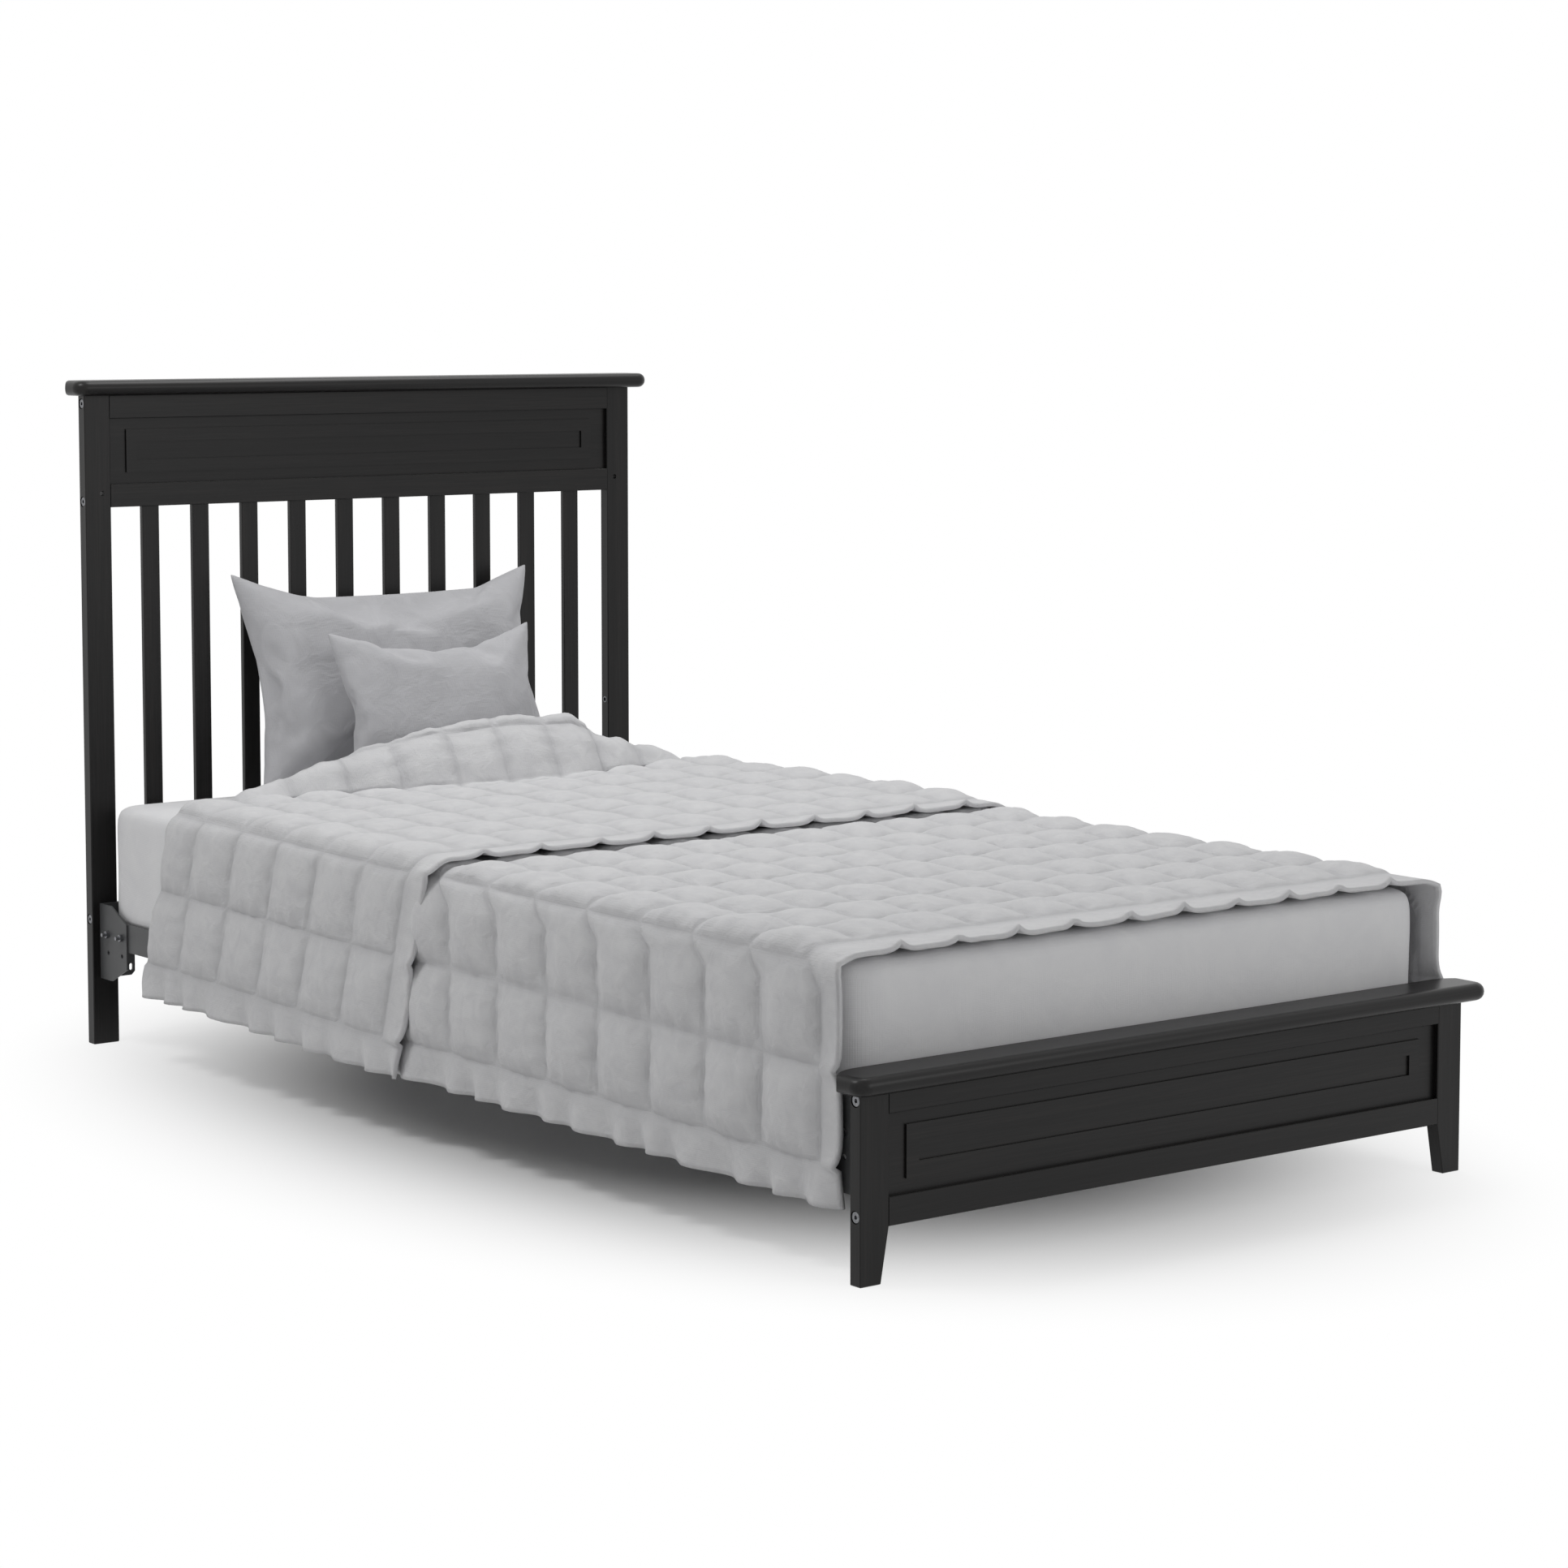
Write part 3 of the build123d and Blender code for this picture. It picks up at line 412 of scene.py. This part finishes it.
def makeMattress():
    low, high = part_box("mattress")
    top = high.z - mattress["crown"]
    points, faces = roundedBlock(low, (high.x, high.y, top), mattress["corner"], mattress["edge"],
                                 mattress["step"])
    middle, half = (low + high) / 2, (high - low) / 2
    shaped = []
    for p in points:
        u, v = (p.x - middle.x) / half.x, (p.y - middle.y) / half.y
        w = ease((p.z - low.z) / (top - low.z))
        crown = mattress["crown"] * (1 - u * u) * (1 - v * v) * w
        fromCorner = abs(u) * half.x + abs(v) * half.y - (half.x + half.y - mattress["creaseReach"])
        cornerNear = ease(fromCorner / mattress["creaseFade"])
        around = math.atan2(abs(p.y - middle.y) - half.y + mattress["creaseCentre"],
                            abs(p.x - middle.x) - half.x + mattress["creaseCentre"])
        pleat = abs(math.sin(around * mattress["creases"] + 3 * w)) * mattress["creaseDepth"] * cornerNear
        out = Vector((p.x - middle.x, p.y - middle.y, 0)).normalized()
        slack = mattress["slack"] * (1 + wobble(p.x * 6, p.y * 6, p.z * 12))
        inset = pleat + slack * (1 if p.z < top - mattress["slackBelowTop"] else 0)
        shaped.append(p - out * inset + Vector((0, 0, crown)))
    piece = meshPiece("mattressInSheet", shaped, faces, percaleSheet)
    piece.modifiers.new("roundOff", "SUBSURF").levels = 1
    applyModifiers(piece)
    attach(piece, "mattress_body")
    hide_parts("mattress")


makeMattress()
print("mattress made")

# quilt: one sheet sewn in squares, laid over the bed and folded back on itself at the head

quilt = {"halfWidth": 0.510, "top": 0.3878,  # middle of the cloth over the rails and over the mattress
         "shoulder": 0.028, "layer": 0.014, "thick": 0.006,
         "footEdge": -0.9215, "footWander": 0.002, "backEdge": -0.036, "backWander": 0.006, "backLength": 0.64,
         "bottomEdge": [(-0.92, 0.086), (0.0, 0.093), (0.75, 0.106)],  # hangs lower towards the foot
         "dropTop": 0.383, "dropDepth": 0.293, "backSlant": 0.078,  # the side drop, and how far its ends slant
         "foldTop": 0.6780, "foldTuck": 0.015, "foldSlant": 0.118, "foldRound": 0.006, "flatRise": 0.05,
         "ridgeSlope": 58, "shortestSlope": 0.020, "ridgeBelly": 0.010, "bellyRise": 0.06,
         "step": 0.0066, "turnRows": 14, "slopeRows": 18, "cut": (1.68, 2.45), "area": 4.05}

squares = {"across": 11, "pitch": 0.1163, "sidePitch": 0.119, "flange": 0.050,
           "footHem": [(0, 0.070), (0.15, 0.034)],  # the foot's hem comes nearer to its edge down the side
           "puff": 0.0200, "roundness": 0.72, "swell": 0.86, "swellSpread": 0.26,
           "backShare": 0.72, "topShare": 0.78, "turnShare": 0.4,
           "pressed": 0.65, "pressedFrom": 0.03, "pressedOver": 0.05,  # under the turned-back part
           "puckerReach": 0.022, "puckerPitch": 0.033, "pucker": 0.0017, "puckerGap": 0.007, "rumple": 0.0020,
           "drag": 0.0030, "dragShare": (0.1, 0.5), "stitchWidth": 0.008, "stitchFade": 0.030}

ruffles = {"pitch": 0.083, "depth": 0.0085, "rumple": 0.004, "lift": 0.003,
           "pleat": 0.0125, "pleatRumple": 0.0015, "pleatLift": 0.0015}

# height of the turned-back end over the bed's width, where it rides up in front of the pillows
ridgeHeights = [(-0.44, 0.404), (-0.385, 0.416), (-0.321, 0.432), (-0.241, 0.455), (-0.167, 0.473),
                (-0.047, 0.493), (0.06, 0.501), (0.186, 0.496), (0.282, 0.452), (0.339, 0.436), (0.426, 0.408),
                (0.46, 0.404)]


def acrossPlace(a, layer, bottom):
    # x and z at a distance a along the cloth, from the left bottom edge to the middle of the bed
    radius = quilt["shoulder"] + layer
    half, top = quilt["halfWidth"] + layer, quilt["top"] + layer
    straight = top - radius - bottom
    arc = radius * math.pi / 2
    if a <= straight:
        return -half, bottom + a
    if a <= straight + arc:
        angle = (a - straight) / radius
        return -half + radius * (1 - math.cos(angle)), top - radius + radius * math.sin(angle)
    return -half + radius + (a - straight - arc), top


def acrossLength(layer, bottom):
    radius = quilt["shoulder"] + layer
    return quilt["top"] + layer - radius - bottom + radius * math.pi / 2 + quilt["halfWidth"] + layer - radius


def acrossSeams(total):
    # the flange, two rows of squares on the side drop, the shoulder, then the squares over the top
    flange, pitch = squares["flange"], squares["sidePitch"]
    side = [0.0, flange, flange + pitch, flange + 2 * pitch]
    first, count = side[-1], squares["across"]
    topPitch = 2 * (total - first) / count
    return side + [first + topPitch * (n + 1) for n in range(count // 2 + 1)]


def cellShare(value, seams):
    # which square, the share of the way over it, and the distance to its nearer seam
    for n, (start, end) in enumerate(zip(seams, seams[1:])):
        if value <= end:
            return n, (value - start) / (end - start), min(value - start, end - value)
    return len(seams), 0.0, 0.0


def quiltRows():
    # every row of points along the cloth, from the foot edge up the bed, round the fold and back
    under = round((quilt["foldTop"] - quilt["footEdge"]) / quilt["step"])
    back = round(quilt["backLength"] / quilt["step"])
    rows = []
    for kind, count in (("under", under), ("turn", quilt["turnRows"]), ("slope", quilt["slopeRows"])):
        rows += [(kind, n / count) for n in range(count)]
    return rows + [("back", n / back) for n in range(back + 1)]


def quiltSheet():
    # the cloth's middle before it is padded, and for each point a mark that says where on the cloth it is:
    # its kind of row, place across, seams, place along, distance from the cut end, side and share down the drop
    halfCount = round(acrossLength(quilt["layer"], 0.09) / quilt["step"])
    places, marks, seamsFor = [], [], {}
    for kind, share in quiltRows():
        line, marked = [], []
        lift = {"under": 0, "turn": 0.5 - 0.5 * math.cos(math.pi * share), "slope": 1, "back": 1}[kind]
        layer = quilt["layer"] * lift
        for column in range(-halfCount, halfCount + 1):
            side = 1 if column > 0 else -1
            y = 0.0
            for attempt in ("first guess", "final"):  # the bottom edge's height needs y, and y needs the height
                bottom = between(y, quilt["bottomEdge"])
                total = acrossLength(layer, bottom)
                a = total * (1 - abs(column) / halfCount)
                x, z = acrossPlace(a, layer, bottom)
                down = max(0.0, (quilt["dropTop"] - z) / quilt["dropDepth"])
                footEdge = quilt["footEdge"] + quilt["footWander"] * wobble(a * 14, 3)
                fold = quilt["foldTop"] - quilt["foldTuck"] * ease(down * 8) + quilt["foldSlant"] * down
                height = between(x * -side, ridgeHeights) if down == 0 else ridgeHeights[0][1]
                rise = max(0.0, height - quilt["thick"] / 2 - quilt["top"] - quilt["layer"])
                slopeRun = max(quilt["shortestSlope"], rise / math.tan(math.radians(quilt["ridgeSlope"])))
                wander = quilt["backWander"] * wobble(a * 9, 7)
                backEdge = quilt["backEdge"] + wander + quilt["backSlant"] * down
                if kind == "under":
                    y = footEdge + (fold - footEdge) * share
                elif kind == "turn":
                    flat = 1 - min(1, rise / quilt["flatRise"])
                    y = fold + quilt["foldRound"] * math.sin(math.pi * share) * flat
                elif kind == "slope":
                    y = fold - slopeRun * share
                else:
                    y = fold - slopeRun + (backEdge - fold + slopeRun) * share
            up = {"under": 0, "turn": ease(share) * rise, "slope": (1 - share) * rise, "back": 0}[kind]
            if kind == "slope":  # the bend bellies out
                up += quilt["ridgeBelly"] * math.sin(math.pi * share) * min(1, rise / quilt["bellyRise"])
            line.append(Vector((x * -side, y, z + up)))
            if kind == "under":
                along = y - (quilt["footEdge"] + between(down, squares["footHem"]))
                hemGap = y - footEdge
            else:
                hem = backEdge + squares["flange"]
                run = math.hypot(slopeRun, rise)
                along = {"turn": (fold - slopeRun - hem) + run,
                         "slope": (fold - slopeRun - hem) + run * (1 - share), "back": y - hem}[kind]
                hemGap = y - backEdge if kind == "back" else 1.0
            seams = seamsFor.setdefault(round(total, 4), acrossSeams(total))
            marked.append((kind, a, seams, along, hemGap, side, down))
        places.append(line)
        marks.append(marked)
    return places, marks


def puckers(gap, run, wander):  # they gather at right angles to a line of stitching and fade into the puff
    wave = math.sin(run * 2 * math.pi / squares["puckerPitch"] + wander)
    return math.exp(-gap / squares["puckerReach"]) * wave


def puffHeight(mark, point):
    kind, a, seams, along, hemGap, side, down = mark
    cell, u, edgeGap = cellShare(a, seams)
    row = math.floor(along / squares["pitch"])
    v = along / squares["pitch"] - row
    wave = wobble(point.x * 26 + 5, point.y * 26, point.z * 26)
    if cell == 0:
        # the flange below the side's hem stitching hangs in loose ruffles, in and out
        free = max(0.0, 1 - a / squares["flange"])
        ruffle = math.sin(point.y * 2 * math.pi / ruffles["pitch"] + 3.2 * wobble(point.y * 6, 9 + side))
        return ruffles["lift"] + free * (ruffles["depth"] * ruffle + ruffles["rumple"] * wave)
    if along < 0:
        # the foot flange lies flat and flips up into a small pleat at each line of stitching
        free = max(0.0, 1 - hemGap / squares["flange"])
        pleat = (1 - math.sin(math.pi * u)) ** 3 * (0.8 + 0.5 * wobble(cell * 2.3, side))
        return ruffles["pleatLift"] + free * (ruffles["pleat"] * pleat + ruffles["pleatRumple"] * wave)
    full = (max(0.0, math.sin(math.pi * u)) * max(0.0, math.sin(math.pi * v))) ** squares["roundness"]
    seed = 1.5 if kind == "back" else 0
    swell = squares["swell"] + squares["swellSpread"] * wobble(cell * 3.7 + side * 11, row * 5.3, seed)
    tall = squares["puff"]
    if kind == "under":
        covered = point.y + squares["pressedFrom"] - quilt["backSlant"] * down
        tall *= 1 - squares["pressed"] * ease(covered / squares["pressedOver"])
    else:
        tall *= squares["backShare"]
    if down == 0:
        tall *= squares["topShare"]
    height = tall * full * swell
    acrossGap = min(v, 1 - v) * squares["pitch"]
    pull = puckers(edgeGap, along, 5 * wobble(along * 9, a * 9, 2))
    pull += puckers(acrossGap, a, 5 * wobble(along * 9, a * 9, 8))
    height += squares["pucker"] * pull * ease(min(edgeGap, acrossGap) / squares["puckerGap"])
    height += squares["rumple"] * wave * full
    if squares["dragShare"][0] < down < squares["dragShare"][1] or cell == 3:
        # cloth drags down from the bed's edge
        height += squares["drag"] * wobble(along * 38, a * 5, 4) * full ** 0.5
    if kind == "turn":
        height *= squares["turnShare"]
    return max(0.0, height)


# the stitch value also masks the painted shade, which is darkest on each line of stitching and fades into the
# square
def stitchDistance(mark):  # 0 on a line of stitching, 1 well inside a square or the flange
    a, seams, along = mark[1:4]
    cell, share, gap = cellShare(a, seams)
    if cell == 0:
        gap = squares["flange"] - a
    elif along < 0:
        gap = -along
    else:
        v = along / squares["pitch"] % 1
        gap = min(gap, min(v, 1 - v) * squares["pitch"])
    return 0.55 * ease(gap / squares["stitchWidth"]) + 0.45 * ease(gap / squares["stitchFade"])


def makeQuilt():
    places, marks = quiltSheet()
    rowCount, columnCount = len(places), len(places[0])
    points, stitches, faces = [], [], []
    for j in range(rowCount):
        for i in range(columnCount):
            here, mark = places[j][i], marks[j][i]
            left, right = places[j][max(0, i - 1)], places[j][min(columnCount - 1, i + 1)]
            before, after = places[max(0, j - 1)][i], places[min(rowCount - 1, j + 1)][i]
            normal = (right - left).cross(after - before)
            normal = normal.normalized() if normal.length > 1e-12 else Vector((0, 0, 1))
            outward = 1 if mark[0] == "under" else -1  # the cloth is turned over past the fold
            points.append(here + normal * (puffHeight(mark, here) * outward))
            stitches.append(stitchDistance(mark))
            if i and j:
                corner = (j - 1) * columnCount + i - 1
                faces.append((corner, corner + 1, corner + columnCount + 1, corner + columnCount))
    piece = meshPiece("foldedQuilt", points, faces, washedQuilt)
    piece.data.attributes.new("stitch", "FLOAT", "POINT").data.foreach_set("value", stitches)
    wadding = piece.modifiers.new("wadding", "SOLIDIFY")
    wadding.thickness, wadding.offset = quilt["thick"], 0
    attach(piece, "quilt_body")
    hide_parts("quilt")
    area = sum(face.area for face in piece.data.polygons)
    print("quilt laid:", len(points), "points,", round(area, 3), "square metres")


makeQuilt()

# pillows: stuffed cotton cases with knife edges, blown up by cloth simulation from two flat panels

pillows = {
    "pillow_large": {"piece": "largePillow", "body": "pillow_large_body", "fill": 0.6,
                     "width": 0.568, "height": 0.370, "thick": 0.118, "cells": (54, 38)},
    "pillow_small": {"piece": "smallPillow", "body": "pillow_small_body", "fill": 0.6,
                     "width": 0.382, "height": 0.277, "thick": 0.084, "cells": (44, 32)}}
stuffing = {"dip": 0.012, "topDip": 1.3, "startThick": 0.75, "roundness": 0.6, "unevenness": 0.0008,
            "lean": 15.5, "pressure": 4.0, "frames": 22, "cap": 0.05}
pillowCloth = {"quality": 6, "mass": 0.25, "tension_stiffness": 12, "compression_stiffness": 12,
               "shear_stiffness": 4, "bending_stiffness": 0.15}


def pillowSkin(width, height, thick, cells):
    # front and back panels joined along one outline whose sides pull in between the pointed corners
    across, up = cells
    index, points, faces = {}, [], []
    for face in (-1, 1):
        for j in range(up + 1):
            for i in range(across + 1):
                u, v = 2 * i / across - 1, 2 * j / up - 1
                rim = i in (0, across) or j in (0, up)
                key = (i, j, 0 if rim else face)
                if key in index:
                    continue
                index[key] = len(points)
                x = width / 2 * u * (1 - stuffing["dip"] * (1 - v * v))
                z = height / 2 * v * (1 - stuffing["dip"] * stuffing["topDip"] * (1 - u * u))
                full = (max(0, 1 - u * u) * max(0, 1 - v * v)) ** stuffing["roundness"]
                depth = 0.5 * thick * full * stuffing["startThick"]
                uneven = stuffing["unevenness"] * wobble(u * 7, v * 7, face)
                points.append(Vector((x, face * depth + uneven, z)))
    for face in (-1, 1):
        for j in range(up):
            for i in range(across):
                ring = []
                for di, dj in ((0, 0), (1, 0), (1, 1), (0, 1)):
                    p, q = i + di, j + dj
                    rim = p in (0, across) or q in (0, up)
                    ring.append(index[(p, q, 0 if rim else face)])
                faces.append(ring if face < 0 else ring[::-1])
    return points, faces


def inflate(piece):
    start = [v.co.copy() for v in piece.data.vertices]
    cloth = piece.modifiers.new("stuffed", "CLOTH")
    for name, value in pillowCloth.items():
        setattr(cloth.settings, name, value)
    cloth.settings.use_pressure = True
    cloth.settings.uniform_pressure_force = stuffing["pressure"]
    cloth.settings.effector_weights.gravity = 0
    cloth.point_cache.frame_start, cloth.point_cache.frame_end = 1, stuffing["frames"]
    for step in range(1, stuffing["frames"] + 1):
        bpy.context.scene.frame_set(step)
    applyModifiers(piece)
    bpy.context.scene.frame_set(1)
    for vertex, first in zip(piece.data.vertices, start):
        move = vertex.co - first
        if move.length > stuffing["cap"]:
            vertex.co = first + move.normalized() * stuffing["cap"]


def fitInside(piece, size):
    for axis in range(3):
        values = [v.co[axis] for v in piece.data.vertices]
        low, high = min(values), max(values)
        scale, middle = size[axis] / (high - low), (low + high) / 2
        for vertex in piece.data.vertices:
            vertex.co[axis] = (vertex.co[axis] - middle) * scale


def makePillow(node, sizes):
    points, faces = pillowSkin(sizes["width"], sizes["height"], sizes["thick"], sizes["cells"])
    piece = meshPiece(sizes["piece"], points, faces, pillowCase)
    inflate(piece)
    fitInside(piece, (sizes["width"], sizes["thick"], sizes["height"]))
    piece.modifiers.new("fine", "SUBSURF").levels = 1
    applyModifiers(piece)
    lean = Matrix.Rotation(-math.radians(stuffing["lean"]), 4, "X")
    low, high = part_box(node)
    turned = [lean @ v.co for v in piece.data.vertices]
    lowest = Vector((min(p[n] for p in turned) for n in range(3)))
    highest = Vector((max(p[n] for p in turned) for n in range(3)))
    shift = (low + high) / 2 - (lowest + highest) / 2
    for vertex, p in zip(piece.data.vertices, turned):
        vertex.co = p + shift
    piece.data.update()
    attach(piece, sizes["body"])
    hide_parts(node)
    print(sizes["piece"], "made, box", [round(c, 4) for c in lowest + shift],
          [round(c, 4) for c in highest + shift])


for node, sizes in pillows.items():
    makePillow(node, sizes)
